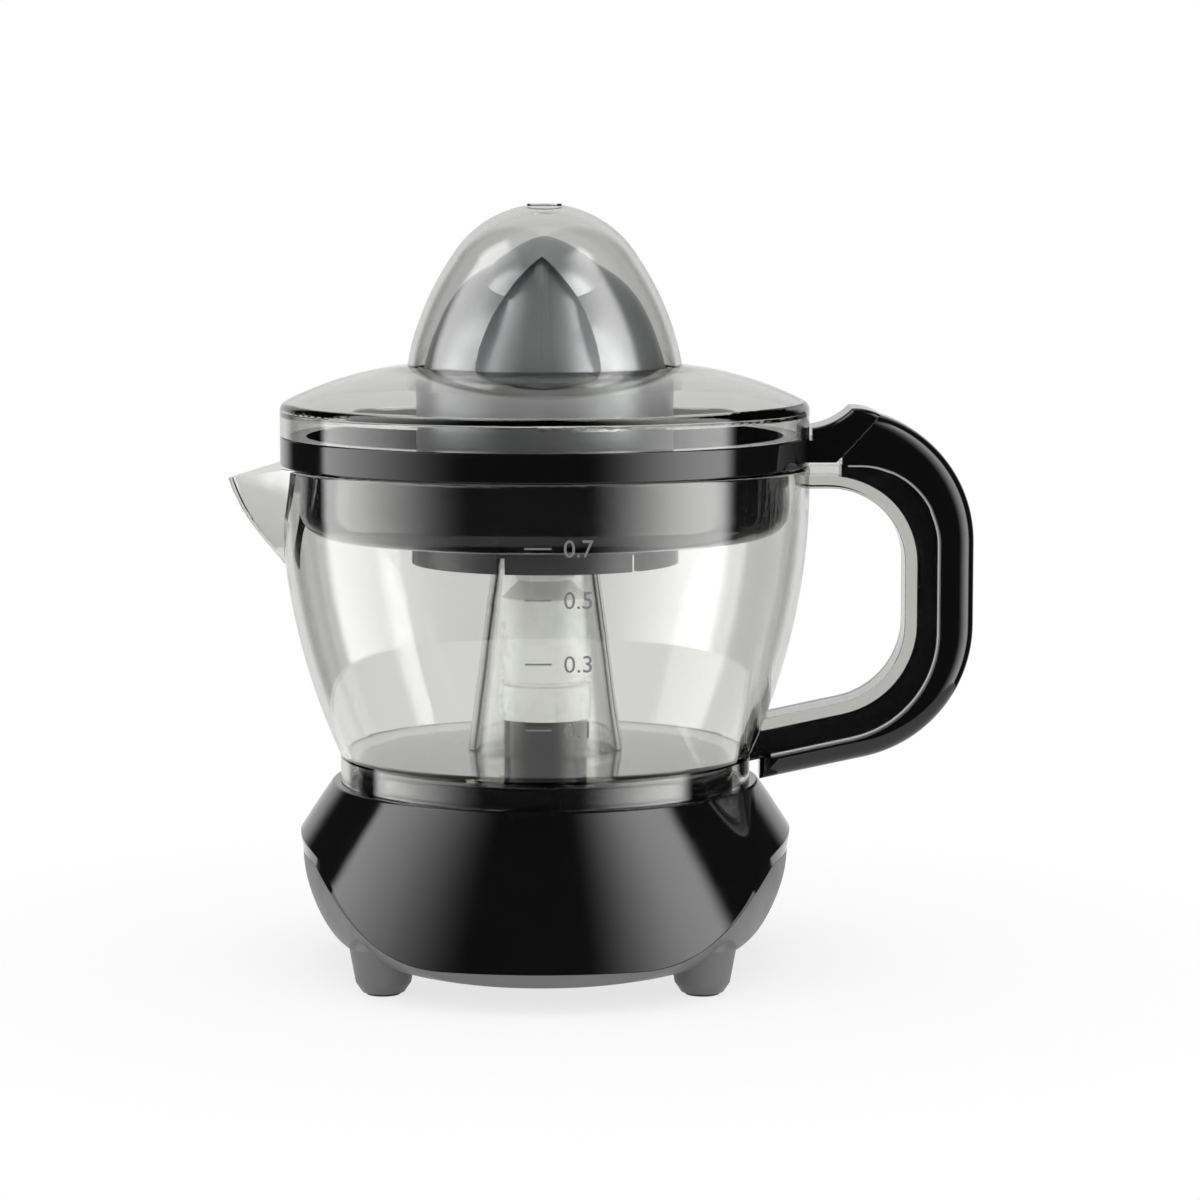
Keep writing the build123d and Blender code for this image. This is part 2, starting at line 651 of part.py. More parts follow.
def lower_bush():
    bush = rod(LOWER_BUSH_R, PLATE_Z - BUSH_FLANGE, plate_top)
    bush = bush + rod(LOWER_BUSH_R + BUSH_RIM, PLATE_Z - BUSH_FLANGE, PLATE_Z)
    return bush - rod(AXLE_R + SHAFT_FIT, 0, boss_z)


def spindle_seal():
    return tube(SEAL_R - SEAM, AXLE_R + RUN_GAP, boss_z - SEAL_T, boss_z - SEAM)


def spindle_axle():
    axle = rod(AXLE_R, AXLE_FOOT_Z, boss_z + AXLE_GRIP)
    return chamfer(axle.edges().sort_by(Axis.Z)[-1], AXLE_CHAMFER)


def thrust_cup():
    cup = rod(CUP_R, CUP_Z, CUP_TOP) + block(-CUP_ARM_W / 2, CUP_ARM_W / 2, -CUP_ARM, 0, CUP_TOP - CUP_ARM_T,
                                              CUP_TOP)
    return cup - rod(AXLE_R + SHAFT_FIT, AXLE_FOOT_Z - REST_GAP, CUP_TOP + 1)


def return_spring():
    height = CUP_Z - floor_top - 2 * SPRING_WIRE - 2 * REST_GAP
    path = Pos(0, 0, floor_top + SPRING_WIRE + REST_GAP) * Helix(height / SPRING_TURNS, height, SPRING_R)
    return sweep(Plane(origin=path @ 0, z_dir=path % 0) * Circle(SPRING_WIRE), path, is_frenet=True)


def switch_body():
    body = block(-SWITCH_W / 2, SWITCH_W / 2, SWITCH_Y0, SWITCH_Y1, floor_top, SWITCH_TOP)
    body = fillet(body.edges().filter_by(Axis.Z), SWITCH_EDGE)
    return body - rod(PLUNGER_R + RUN_GAP, floor_top + SWITCH_FLOOR, SWITCH_TOP + 1, 0, PLUNGER_Y)


def switch_plunger():
    top = CUP_TOP - CUP_ARM_T - PLUNGER_GAP
    low = floor_top + SWITCH_FLOOR + PRESS_TRAVEL + PLUNGER_GAP
    plunger = rod(PLUNGER_R, low, top, 0, PLUNGER_Y)
    return fillet(plunger.edges().sort_by(Axis.Z)[-1], PLUNGER_EDGE)


def drive_spindle():
    roof = boss_z + PRESS_TRAVEL + SPINDLE_ROOF
    key = Pos(0, 0, SPINDLE_TOP) * extrude(RegularPolygon(KEY_FLATS / 2, 6, major_radius=False),
                                           amount=KEY_TOP - SPINDLE_TOP)
    key = chamfer(key.faces().sort_by(Axis.Z)[-1].edges(), KEY_CHAMFER)
    shoulder = KEY_FLATS / 2
    body = turned_points(
        (0, boss_z - SKIRT_LAP), (SKIRT_R, boss_z - SKIRT_LAP), (SKIRT_R, SKIRT_TOP),
        (SPINDLE_R - GROOVE, SKIRT_TOP + GROOVE / 2), (SPINDLE_R - GROOVE, SKIRT_TOP + GROOVE),
        (SPINDLE_R, SKIRT_TOP + 1.5 * GROOVE), (SPINDLE_R, SPINDLE_TOP - SPINDLE_R + shoulder),
        (shoulder, SPINDLE_TOP), (0, SPINDLE_TOP))
    pocket = rod(BOSS_R + RUN_GAP, 0, roof)
    return body + key - pocket - rod(AXLE_R, 0, boss_z + AXLE_GRIP)


# Jug and handle

def jug_side(inset):
    """Curve of the jug's wall from the floor to the rim."""
    low = (JUG_LOW_R - inset, JUG_LOW_Z)
    high = (JUG_HIGH_R - inset, JUG_HIGH_Z)
    bend = ThreePointArc(low, (JUG_MID_R - inset, JUG_MID_Z), high)
    return [bend, Line(high, (JUG_RIM_R - inset, JUG_RIM_Z))]


def jug_block(extra=0.0):
    """The jug's outer form, filled, grown by a clearance."""
    outline = jug_side(-extra)
    foot = Polyline((JUG_RIM_R + extra, JUG_RIM_Z), (JUG_RIM_R + extra, RING_TOP), (0, RING_TOP), (0, jug_z),
                    (JUG_FOOT_R + extra, jug_z), (JUG_FOOT_R + extra, JUG_FOOT_TOP),
                    (JUG_LOW_R + extra, JUG_LOW_Z))
    return turned(make_face([*outline, foot]))


def column_radius(z):
    slope = (COLUMN_R - COLUMN_TOP_R) / (COLUMN_TOP_Z - JUG_FLOOR_Z)
    return COLUMN_R - slope * (z - JUG_FLOOR_Z)


def jug_shell():
    under = JUG_FLOOR_Z - JUG_FLOOR_T
    inner = jug_side(JUG_WALL)
    floor_r = JUG_LOW_R - JUG_WALL
    path = Polyline(
        (floor_r, JUG_LOW_Z), (floor_r, JUG_FLOOR_Z), (column_radius(JUG_FLOOR_Z), JUG_FLOOR_Z),
        (COLUMN_TOP_R, COLUMN_TOP_Z), (COLUMN_TOP_R - COLUMN_WALL, COLUMN_TOP_Z),
        (column_radius(under) - COLUMN_WALL, under), (JUG_FOOT_R - JUG_FOOT_WALL, under),
        (JUG_FOOT_R - JUG_FOOT_WALL, jug_z), (JUG_FOOT_R, jug_z), (JUG_FOOT_R, JUG_FOOT_TOP),
        (JUG_LOW_R, JUG_LOW_Z))
    rim = Line((JUG_RIM_R, JUG_RIM_Z), (JUG_RIM_R - JUG_WALL, JUG_RIM_Z))
    outline = make_face([*jug_side(0), rim, *inner, path])
    for corner in (JUG_RIM_R, JUG_RIM_R - JUG_WALL):
        outline = round_corner(outline, (corner, JUG_RIM_Z), JUG_RIM_EDGE)
    return turned(outline)


def spout_block(inset):
    """Outer form of the spout, or its inside when pulled in by the wall."""
    sections = []
    for reach, half, z in zip(SPOUT_REACH, SPOUT_HALF, SPOUT_Z):
        tip = -(reach - inset)
        wide = half - inset
        root = -SPOUT_ROOT_X + SPOUT_ROOT_DEPTH
        outline = make_face(Polyline((root, -wide), (-SPOUT_ROOT_X, -wide), (tip, 0), (-SPOUT_ROOT_X, wide),
                                     (root, wide), close=True))
        outline = round_corner(outline, (tip, 0), SPOUT_NOSE - inset / 2)
        sections.append(Pos(0, 0, z) * outline)
    return loft(sections)


def rim_plane_cut():
    """Everything above the jug's rim and the spout's drooping lip."""
    droop = (-SPOUT_REACH[-1] - SPOUT_OVERRUN, SPOUT_TIP_Z - SPOUT_OVERRUN * lip_slope())
    outline = make_face(Polyline((0, JUG_RIM_Z), (-SPOUT_DROOP_X, JUG_RIM_Z), droop, (droop[0], LID_TOP),
                                 (0, LID_TOP), close=True))
    return side_slab(outline, JUG_RIM_R)


def lip_slope():
    return (JUG_RIM_Z - SPOUT_TIP_Z) / (SPOUT_REACH[-1] - SPOUT_DROOP_X)


def lower_line(x, drop):
    """Height of the handle's sloping lower line, moved down square to itself."""
    return HANDLE_LINE_Z + HANDLE_SLOPE * (x - HANDLE_LINE_X) - drop * hypot(1, HANDLE_SLOPE)


def handle_region(right, top, drop, top_fillet, low_fillet):
    """Side region from inside the jug out to a rounded handle line."""
    corner_low = (right, lower_line(right, drop))
    root_low = (HANDLE_ROOT_X, lower_line(HANDLE_ROOT_X, drop))
    outline = make_face(Polyline((HANDLE_ROOT_X, top), (right, top), corner_low, root_low, close=True))
    outline = round_corner(outline, (right, top), top_fillet)
    return round_corner(outline, corner_low, low_fillet)


def finger_gap(grow):
    return handle_region(GAP_RIGHT_X + grow, GAP_TOP_Z + grow, grow, GAP_TOP_FILLET + grow,
                         GAP_LOW_FILLET + grow)


def channel_region(grow=0.0):
    return handle_region(CHANNEL_RIGHT_X + grow, CHANNEL_TOP_Z + grow, CHANNEL_DROP + grow,
                         CHANNEL_TOP_FILLET + grow, CHANNEL_LOW_FILLET + grow)


def jug():
    handle = side_slab(channel_region() - finger_gap(0), CHANNEL_HALF)
    sides = handle.edges().group_by(Axis.Y)
    handle = fillet(sides[0] + sides[-1], CHANNEL_EDGE)
    slot = side_slab(channel_region(CHANNEL_OPEN) - finger_gap(CHANNEL_WEB), CHANNEL_HALF - CHANNEL_WALL)
    handle = handle - slot - jug_block()
    body = jug_shell() + (spout_block(0) - jug_block(-JUG_WALL / 2))
    body = body - spout_block(SPOUT_WALL) - rim_plane_cut()
    return body + handle


def seam_high_z():
    """Height at which the seam meets the cover's upper arc."""
    return COVER_TOP_Z + sqrt(COVER_TOP_R**2 - (SEAM_HIGH_X - COVER_RIGHT_X + COVER_TOP_R) ** 2)


def cover_region():
    centre = (COVER_RIGHT_X - COVER_TOP_R, COVER_TOP_Z)
    low_centre = (COVER_RIGHT_X - COVER_LOW_R, COVER_LOW_Z)
    start = degrees(acos((SEAM_HIGH_X - centre[0]) / COVER_TOP_R))
    tilt = degrees(atan(HANDLE_SLOPE))
    top = CenterArc(centre, COVER_TOP_R, 0, start)
    low = CenterArc(low_centre, COVER_LOW_R, tilt - 90, 90 - tilt)
    back = Line(low @ 1, top @ 0)
    end_z = (low @ 0).Y - HANDLE_SLOPE * ((low @ 0).X - COVER_END_X)
    lap_z = CHANNEL_TOP_Z - COVER_LAP
    foot = Polyline(top @ 1, SEAM_LOW, (SEAM_LOW[0], lap_z), (COVER_END_X, lap_z), (COVER_END_X, end_z),
                    low @ 0)
    return make_face([top, back, low, foot])


def handle_cover():
    grip = side_slab(cover_region() - channel_region(), COVER_HALF)
    rims = [edge for edge in grip.edges() if is_outer_rim(edge)]
    grip = fillet(rims, COVER_EDGE)
    tongue = side_slab(channel_region() - finger_gap(CHANNEL_WEB + TONGUE_FIT),
                       CHANNEL_HALF - CHANNEL_WALL - TONGUE_FIT)
    bare = block(0, SEAM_LOW[0], -COVER_HALF, COVER_HALF, COVER_TOP_Z, LID_TOP)
    return grip + (tongue - bare) - jug_block(TONGUE_FIT)


def is_outer_rim(edge):
    """True for the grip's long outer edges, on both of its side faces."""
    middle = edge @ 0.5
    if abs(abs(middle.Y) - COVER_HALF) > SEAM:
        return False
    right = middle.X > CHANNEL_RIGHT_X + COVER_LAP / 2
    from_centre = hypot(middle.X - COVER_RIGHT_X + COVER_TOP_R, middle.Z - COVER_TOP_Z)
    above = middle.Z > COVER_TOP_Z and from_centre > COVER_TOP_R - SEAM
    under = middle.Z < lower_line(middle.X, CHANNEL_DROP + COVER_LAP)
    return right or above or under


# Strainer, pulp ring, reamer and lid

def strainer():
    inner = BOWL_R - BOWL_WALL
    outline = make_face(Polyline(
        (HUB_R - HUB_WALL, BOWL_FLOOR_Z), (BOWL_R, BOWL_FLOOR_Z), (BOWL_R, RING_TOP - RING_T),
        (RING_R - RING_T, RING_TOP - RING_T), (RING_R - RING_T, ring_low), (RING_R, ring_low),
        (RING_R, RING_TOP), (inner, RING_TOP), (inner, bowl_floor_top), (HUB_R - HUB_WALL, bowl_floor_top),
        close=True))
    outline = round_corner(outline, (BOWL_R, BOWL_FLOOR_Z), BOWL_CORNER)
    outline = round_corner(outline, (inner, bowl_floor_top), BOWL_CORNER - BOWL_WALL)
    for corner in ((RING_R, RING_TOP), (RING_R, ring_low)):
        outline = round_corner(outline, corner, RING_EDGE)
    bowl = turned(outline)
    key_hole = KEY_FLATS / 2 / cos(pi / 6) + KEY_GAP
    hub = tube(HUB_R, HUB_R - HUB_WALL, HUB_LOW, HUB_TOP) + tube(HUB_R, key_hole, HUB_TOP - HUB_WALL, HUB_TOP)
    hub = hub + tube(HUB_R + HUB_LIP, HUB_R - HUB_WALL, HUB_LOW, HUB_LOW + HUB_LIP)
    slot = block(SLOT_R0, SLOT_R1, -SLOT_W / 2, SLOT_W / 2, BOWL_FLOOR_Z - 1, bowl_floor_top + 1)
    window = block(WINDOW_R0, WINDOW_R1, -WINDOW_W / 2, WINDOW_W / 2, BOWL_FLOOR_Z - 1, bowl_floor_top + 1)
    bowl = bowl - around(slot, SLOT_COUNT) - around(window, WINDOW_COUNT)
    return bowl + hub + thumb_tab()


def thumb_tab():
    """Grip at the rim that lies over the handle, ahead of the slanted seam."""
    seam_high = (SEAM_HIGH_X, seam_high_z())
    run = (seam_high[0] - SEAM_LOW[0], seam_high[1] - SEAM_LOW[1])
    shift = RUN_GAP / hypot(*run)
    low = (SEAM_LOW[0] - shift * run[1], SEAM_LOW[1] + shift * run[0])
    high = (seam_high[0] - shift * run[1], seam_high[1] + shift * run[0])
    root_x = LID_RIM_R + RUN_GAP
    bottom_z = CHANNEL_TOP_Z + 2 * RUN_GAP
    root = (root_x, TAB_ROOT_Z)
    crest_middle = ((high[0] + TAB_PEAK[0]) / 2 + TAB_CREST[0], TAB_PEAK[1] - TAB_CREST[1])
    crest = ThreePointArc(high, crest_middle, TAB_PEAK)
    dip_middle = ((TAB_PEAK[0] + root_x) / 2 + TAB_DIP[0], (TAB_PEAK[1] + TAB_ROOT_Z) / 2 - TAB_DIP[1])
    dip = ThreePointArc(TAB_PEAK, dip_middle, root)
    ring_x = RING_R - RING_T
    ring_z = RING_TOP - RING_T / 2
    rest = Polyline(root, (root_x, ring_z), (ring_x, ring_z), (ring_x, bottom_z),
                    (low[0] - low[1] + bottom_z, bottom_z), low, high)
    tab = side_slab(make_face([crest, dip, rest]), TAB_HALF)
    sides = tab.edges().group_by(Axis.Y)
    arcs = (sides[0] + sides[-1]).filter_by(GeomType.CIRCLE)
    rims = [edge for edge in arcs if edge.center().Z > TAB_ROOT_Z]
    return fillet(rims, TAB_EDGE) - rod(ring_x, 0, RING_TOP)


def pulp_ring():
    top = BOWL_FLOOR_Z - RUN_GAP
    bore = HUB_R + RUN_GAP
    ring = turned_points((bore, HUB_LOW + HUB_LIP + RUN_GAP), (bore + PULP_WALL, HUB_LOW + HUB_LIP + RUN_GAP),
                         (bore + PULP_WALL, top - PULP_WALL), (PULP_R - PULP_WALL, top - PULP_WALL),
                         (PULP_R - PULP_WALL, PULP_LOW), (PULP_R, PULP_LOW), (PULP_R, top), (bore, top))
    window = block(WINDOW_R0, WINDOW_R1, -WINDOW_W / 2, WINDOW_W / 2, PULP_LOW, BOWL_FLOOR_Z)
    notch = block(PULP_R - 2 * PULP_WALL, PULP_R + 1, -PULP_NOTCH_W / 2, PULP_NOTCH_W / 2, PULP_LOW - 1,
                  PULP_LOW + PULP_NOTCH_H)
    return ring - around(window, WINDOW_COUNT) - around(notch, PULP_NOTCHES, PULP_NOTCH_START)


def reamer():
    skirt = turned_points((0, CONE_LOW_Z), (CONE_SKIRT_R, CONE_LOW_Z), (CONE_SKIRT_R, CONE_BASE_Z - CONE_STEP),
                          (LOBE_HALF_X[0], CONE_BASE_Z), (0, CONE_BASE_Z))
    ovals = [Pos(0, 0, z) * Ellipse(x, y) for z, x, y in zip(LOBE_Z, LOBE_HALF_X, LOBE_HALF_Y)]
    head = loft(ovals) + reamer_cap() - (panel_arch() - panel_floor(0))
    ribs = (panel_floor(RIB_PROUD) & panel_strip(RIB_LOW_HALF, RIB_TOP_HALF),
            panel_floor(CREST_PROUD) & panel_strip(CREST_LOW_HALF, CREST_TOP_HALF))
    key_bore = KEY_FLATS / 2 + RUN_GAP
    socket_r = key_bore / cos(pi / 6) + SOCKET_WALL
    inner_r = CONE_SKIRT_R - CONE_WALL
    roof_z = KEY_TOP + SOCKET_ROOF
    hollow = turned_points((0, 0), (inner_r, 0), (inner_r, CONE_BASE_Z - 3 * CONE_WALL),
                           (PANEL_FLOOR_R - 1.5 * CONE_WALL, CONE_BASE_Z - CONE_WALL), (HOLLOW_TOP_R, roof_z),
                           (0, roof_z))
    socket = rod(socket_r, SOCKET_LOW, roof_z + 1)
    key = extrude(RegularPolygon(key_bore, 6, major_radius=False), amount=KEY_TOP + REST_GAP)
    return skirt + Rot(0, 0, CONE_TURN) * (head + ribs) - hollow + socket - key


def reamer_cap():
    """Round cap that stands out above the lobes."""
    top = (0, CAP_TOP_Z)
    side = Spline(top, CAP_SHOULDER, CAP_WAIST, CAP_FOOT, tangents=((1, -0.15), (0.15, -1)))
    return turned(make_face([side, Polyline(CAP_FOOT, (CAP_FOOT[0], CAP_LOW_Z), (0, CAP_LOW_Z), top)]))


def panel_arch():
    """Pointed arch of a panel, carried right through the head from front to back."""
    peak = (0, PANEL_TOP_Z)
    left = ThreePointArc((-PANEL_HALF, CONE_BASE_Z), (-PANEL_BEND[0], PANEL_BEND[1]), peak)
    right = ThreePointArc(peak, PANEL_BEND, (PANEL_HALF, CONE_BASE_Z))
    return side_slab(make_face([left, right, Line(right @ 1, left @ 0)]), APRON_R)


def panel_floor(proud):
    """Round core whose side is the floor of the panels, grown outwards."""
    foot = (PANEL_FLOOR_R + proud, CONE_BASE_Z)
    top = (PANEL_FLOOR_TOP_R + proud, PANEL_TOP_Z)
    side = ThreePointArc(foot, (PANEL_FLOOR_BEND[0] + proud, PANEL_FLOOR_BEND[1]), top)
    return turned(make_face([side, Polyline(top, (0, PANEL_TOP_Z), (0, CONE_BASE_Z), foot)]))


def panel_strip(low, high):
    """Tapering upright strip, carried right through the head from front to back."""
    outline = make_face(Polyline((-low, CONE_BASE_Z), (low, CONE_BASE_Z), (high, RIB_TOP_Z), (-high, RIB_TOP_Z),
                                 close=True))
    return side_slab(outline, APRON_R)


def lid_block(inset):
    """Lid form, filled, pulled in by a wall."""
    nose_centre = LID_TOP - LID_NOSE_R
    nose_r = LID_NOSE_R - inset
    angle = acos(LID_NOSE_END / LID_NOSE_R)
    join = (nose_r * cos(angle), nose_centre + nose_r * sin(angle))
    foot = (LID_DOME_R - inset, LID_DOME_Z)
    nose = ThreePointArc((0, nose_centre + nose_r), (nose_r * sin(pi / 4 - angle / 2),
                         nose_centre + nose_r * cos(pi / 4 - angle / 2)), join)
    flank = RadiusArc(join, foot, LID_FLANK_R - inset)
    sides = Polyline(foot, (foot[0], lid_z), (0, lid_z), (0, nose_centre + nose_r))
    dome = turned(make_face([nose, flank, sides]))
    drop = inset * LID_BRIM_FALL
    start = (LID_DOME_R - inset, LID_DOME_Z - drop)
    end = (LID_RIM_R - inset, LID_BRIM_Z - drop)
    brim = ThreePointArc(start, (LID_BRIM_MID[0] - inset / 2, LID_BRIM_MID[1] - drop), end)
    wall = Polyline(end, (end[0], lid_z), (0, lid_z), (0, start[1]), start)
    return dome + turned(round_corner(make_face([brim, wall]), end, LID_EDGE - inset / 2))


def lid():
    shell = lid_block(0) - lid_block(LID_WALL) - rod(LID_RIM_R - LID_WALL, 0, lid_z + 1)
    collar_r = CONE_SKIRT_R + LID_COLLAR_GAP
    collar = tube(collar_r + LID_COLLAR_WALL, collar_r, LID_COLLAR_Z, LID_DOME_Z)
    nub = rod(LID_NUB_R, LID_TOP - LID_WALL, LID_TOP + LID_NUB - LID_WALL / 4)
    return shell + (collar & lid_block(LID_WALL / 2)) + nub


NODES = {
    "upper_housing": upper_housing,
    "lower_housing": lower_housing,
    "rubber_feet": rubber_feet,
    "housing_screws": housing_screws,
    "cord_gland": cord_gland,
    "gear_plate": gear_plate,
    "plate_screws": plate_screws,
    "idler_pin": idler_pin,
    "idler_gear": idler_gear,
    "output_gear": output_gear,
    "motor_core": motor_core,
    "motor_coils": motor_coils,
    "motor_bracket": motor_bracket,
    "motor_screws": motor_screws,
    "motor_rotor": motor_rotor,
    "motor_shaft": motor_shaft,
    "motor_pinion": motor_pinion,
    "spindle_bush": spindle_bush,
    "lower_bush": lower_bush,
    "spindle_seal": spindle_seal,
    "spindle_axle": spindle_axle,
    "thrust_cup": thrust_cup,
    "return_spring": return_spring,
    "switch_body": switch_body,
    "switch_plunger": switch_plunger,
    "drive_spindle": drive_spindle,
    "jug": jug,
    "handle_cover": handle_cover,
    "strainer": strainer,
    "pulp_ring": pulp_ring,
    "reamer": reamer,
    "lid": lid,
}


def main():
    os.makedirs("parts", exist_ok=True)
    for name, make in NODES.items():
        shape = make()
        if isinstance(shape, list):
            shape = Compound(shape)
        export_step(shape, f"parts/{name}.step")


main()
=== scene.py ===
import json
from math import cos, pi, radians, sin

import bpy
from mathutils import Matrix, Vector
from mathutils.bvhtree import BVHTree


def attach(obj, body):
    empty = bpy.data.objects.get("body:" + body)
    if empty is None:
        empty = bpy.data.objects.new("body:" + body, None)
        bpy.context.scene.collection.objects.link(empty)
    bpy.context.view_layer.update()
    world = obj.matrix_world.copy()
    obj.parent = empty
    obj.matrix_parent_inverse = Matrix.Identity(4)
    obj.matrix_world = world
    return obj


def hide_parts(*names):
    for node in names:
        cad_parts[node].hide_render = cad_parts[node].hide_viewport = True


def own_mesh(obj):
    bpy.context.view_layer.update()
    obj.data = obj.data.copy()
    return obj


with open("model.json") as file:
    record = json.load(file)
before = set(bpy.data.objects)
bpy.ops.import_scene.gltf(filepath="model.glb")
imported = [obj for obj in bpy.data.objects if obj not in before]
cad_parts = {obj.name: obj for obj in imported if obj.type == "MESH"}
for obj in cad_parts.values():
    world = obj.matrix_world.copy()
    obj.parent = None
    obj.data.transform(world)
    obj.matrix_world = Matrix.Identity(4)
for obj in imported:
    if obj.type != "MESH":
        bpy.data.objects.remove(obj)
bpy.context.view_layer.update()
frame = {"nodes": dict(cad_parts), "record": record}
nodes = frame["nodes"]

# Camera, in metres and degrees
CAMERA_AT = (0.015, -1.0797, 0.2197)
CAMERA_TILT = 6.43
CAMERA_LENS = 119.1         # millimetres, on the sensor width below
CAMERA_SENSOR = 36.0

# Studio: each light panel's azimuth from the camera's side, where it starts, is full, fades and ends,
# its lowest elevation and its strength
LEFT_PANEL = (32.0, 102.0, 107.0, 113.0, -34.0, 3.8)
RIGHT_PANEL = (18.0, 76.0, 82.0, 92.0, -50.0, 5.0)
PANEL_HIGH = 66.0
PANEL_TOP_EDGE = 8.0        # soft edges of the panels and the backdrop
PANEL_FOOT_EDGE = 10.0
BACK_EDGE = 14.0
ROOM_STRENGTH = 0.02
BACK_START = 138.0          # azimuth where the pale backdrop behind the object begins
BACK_STRENGTH = 0.85
SOFT_FROM = -0.2            # height of the light's direction where the soft light starts to grow
SOFT_LOW = 0.8
SOFT_HIGH = 1.15
INSIDE_STRENGTH = 6.0       # soft light that comes in through clear walls

# Round table top under the object
FLOOR_RADIUS = 0.24
FLOOR_SIDES = 96
FLOOR_Z = -0.0002
FLOOR_PAPER = 0.85
FLOOR_NEAR = 0.06           # distance from the axis up to which the shadow shows most
FLOOR_FAR = 0.95 * FLOOR_RADIUS
FLOOR_NEAR_WHITE = 0.75

# Level marks on the jug: height and number
LEVELS = ((0.0710, "0.1"), (0.0889, "0.3"), (0.1058, "0.5"), (0.1192, "0.7"))
TICK_X = (-0.0043, 0.0026)
TICK_HEIGHT = 0.0005
TICK_STEPS = 8
NUMBER_X = 0.0056
NUMBER_HEIGHT = 0.0045
NUMBER_SHARE = 0.7          # height of a digit as a share of the font's size
NUMBER_ROUND = 4
MARK_PROUD = 0.00012
MARK_RAY_Y = -0.3           # the rays that find the jug's front start here

# Lip of the clear handle channel beside the black cover, found by rays round the finger gap
LIP_CENTRE = (0.084, 0.100)
LIP_TURN = (-117.0, 93.0)
LIP_STEPS = 72
LIP_Y = 0.0079
LIP_FAR = 0.1
LIP_RADIUS = 0.0004
LIP_ROUND = 3

# Patterns of the finishes: the part of the noise that is used, and scales per metre
NOISE_LOW = 0.3
NOISE_HIGH = 0.7
PLASTIC_TONE = 45.0
PLASTIC_GLOSS = 120.0
METAL_TONE = 90.0
METAL_GLOSS = 260.0
CLEAR_TONE = 30.0
CLEAR_GLOSS = 80.0
CLEAR_WAVE = 55.0
PLASTIC_IOR = 1.5
CLEAR_IOR = 1.49


# Shader helpers

def new_material(name):
    """Material with one principled shader."""
    material = bpy.data.materials.new(name)
    material.use_nodes = True
    tree = material.node_tree
    tree.nodes.clear()
    output = tree.nodes.new("ShaderNodeOutputMaterial")
    shader = tree.nodes.new("ShaderNodeBsdfPrincipled")
    tree.links.new(shader.outputs["BSDF"], output.inputs["Surface"])
    return material, tree, shader


def noise(tree, scale, detail=3.0):
    """Noise in the object's own metres."""
    place = tree.nodes.new("ShaderNodeTexCoord")
    texture = tree.nodes.new("ShaderNodeTexNoise")
    texture.inputs["Scale"].default_value = scale
    texture.inputs["Detail"].default_value = detail
    tree.links.new(place.outputs["Object"], texture.inputs["Vector"])
    return texture.outputs["Fac"]


def spread(tree, value, low, high):
    """Noise stretched to a range of values."""
    node = tree.nodes.new("ShaderNodeMapRange")
    node.inputs["From Min"].default_value = NOISE_LOW
    node.inputs["From Max"].default_value = NOISE_HIGH
    node.inputs["To Min"].default_value = low
    node.inputs["To Max"].default_value = high
    tree.links.new(value, node.inputs["Value"])
    return node.outputs["Result"]


def tint(tree, value, dark, light):
    """Noise turned into a colour between two colours."""
    node = tree.nodes.new("ShaderNodeMix")
    node.data_type = "RGBA"
    node.inputs["A"].default_value = (*dark, 1)
    node.inputs["B"].default_value = (*light, 1)
    tree.links.new(value, node.inputs["Factor"])
    return node.outputs["Result"]


def bump(tree, shader, height, distance):
    """Fine relief of a surface."""
    node = tree.nodes.new("ShaderNodeBump")
    node.inputs["Strength"].default_value = 1.0
    node.inputs["Distance"].default_value = distance
    tree.links.new(height, node.inputs["Height"])
    tree.links.new(node.outputs["Normal"], shader.inputs["Normal"])


def moulded(name, dark, light, rough, grain, depth):
    """Opaque moulded plastic or rubber: faint mottling, uneven gloss and a fine skin."""
    material, tree, shader = new_material(name)
    shader.inputs["IOR"].default_value = PLASTIC_IOR
    tree.links.new(tint(tree, noise(tree, PLASTIC_TONE), dark, light), shader.inputs["Base Color"])
    tree.links.new(spread(tree, noise(tree, PLASTIC_GLOSS), *rough), shader.inputs["Roughness"])
    bump(tree, shader, noise(tree, grain, 2.0), depth)
    return material


def metal(name, dark, light, rough, grain, depth, metallic=1.0):
    """Metal or metallic paint with uneven tone and fine working marks."""
    material, tree, shader = new_material(name)
    shader.inputs["Metallic"].default_value = metallic
    tree.links.new(tint(tree, noise(tree, METAL_TONE), dark, light), shader.inputs["Base Color"])
    tree.links.new(spread(tree, noise(tree, METAL_GLOSS), *rough), shader.inputs["Roughness"])
    bump(tree, shader, noise(tree, grain, 2.0), depth)
    return material


def clear(name, dark, light, rough, wave, depth_colour, depth):
    """Clear moulded plastic with slightly uneven walls, darker where it is thick."""
    material, tree, shader = new_material(name)
    shader.inputs["Transmission Weight"].default_value = 1.0
    shader.inputs["IOR"].default_value = CLEAR_IOR
    absorption = tree.nodes.new("ShaderNodeVolumeAbsorption")
    absorption.inputs["Color"].default_value = (*depth_colour, 1)
    absorption.inputs["Density"].default_value = depth
    output = tree.nodes["Material Output"]
    tree.links.new(absorption.outputs["Volume"], output.inputs["Volume"])
    tree.links.new(tint(tree, noise(tree, CLEAR_TONE), dark, light), shader.inputs["Base Color"])
    tree.links.new(spread(tree, noise(tree, CLEAR_GLOSS), *rough), shader.inputs["Roughness"])
    bump(tree, shader, noise(tree, CLEAR_WAVE, 1.0), wave)
    return material


